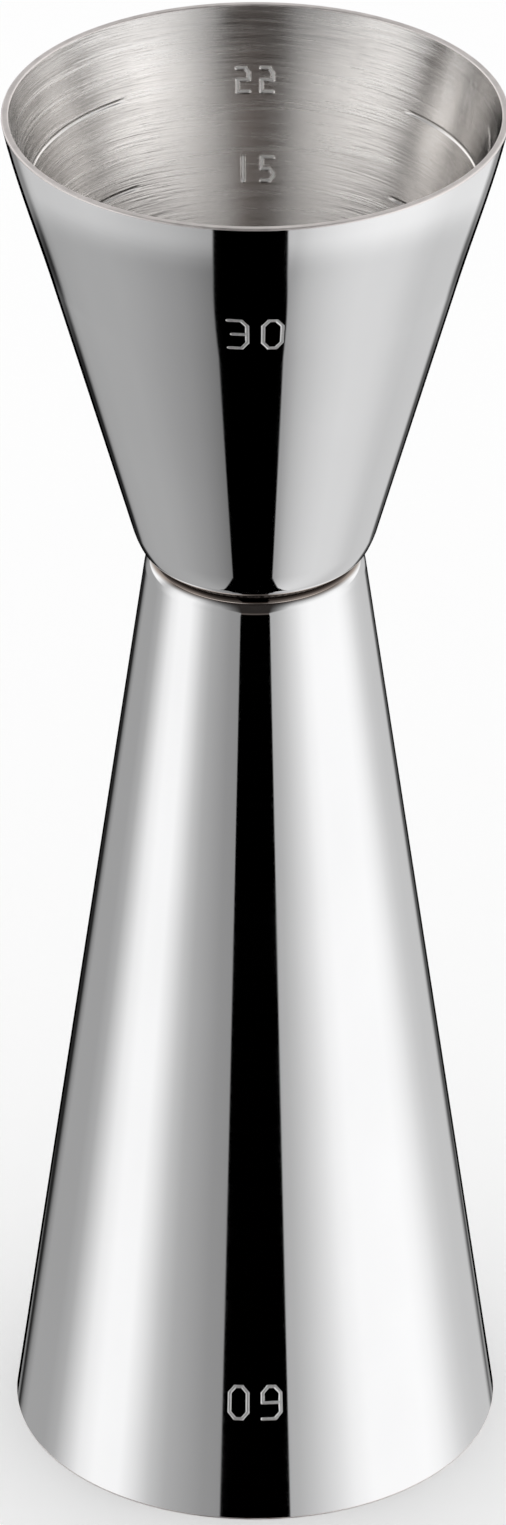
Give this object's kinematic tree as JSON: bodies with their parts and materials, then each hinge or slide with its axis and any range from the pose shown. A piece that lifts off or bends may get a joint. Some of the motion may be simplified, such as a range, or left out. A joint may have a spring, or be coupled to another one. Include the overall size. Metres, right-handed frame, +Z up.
{
  "type": "bar jigger",
  "caption": "Double-ended bar jigger of polished steel: a short cone cup and a tall cone cup welded foot to foot, with graduation lines inside.",
  "frame": {"origin": "centre of the large cup's rim, in the plane that the jigger stands on", "axes": "+Z up along the axis of both cups, from the large cup's rim to the small cup's; -Y is the front, the side that carries the outside figures"},
  "size_m": [0.0424, 0.0424, 0.1265],
  "materials": {
    "polished_steel": "polished",
    "weld_metal": "satin"
  },
  "bodies": {
    "root": {"small_cup": "polished_steel", "large_cup": "polished_steel", "seam_weld": "weld_metal"}
  },
  "joints": []
}
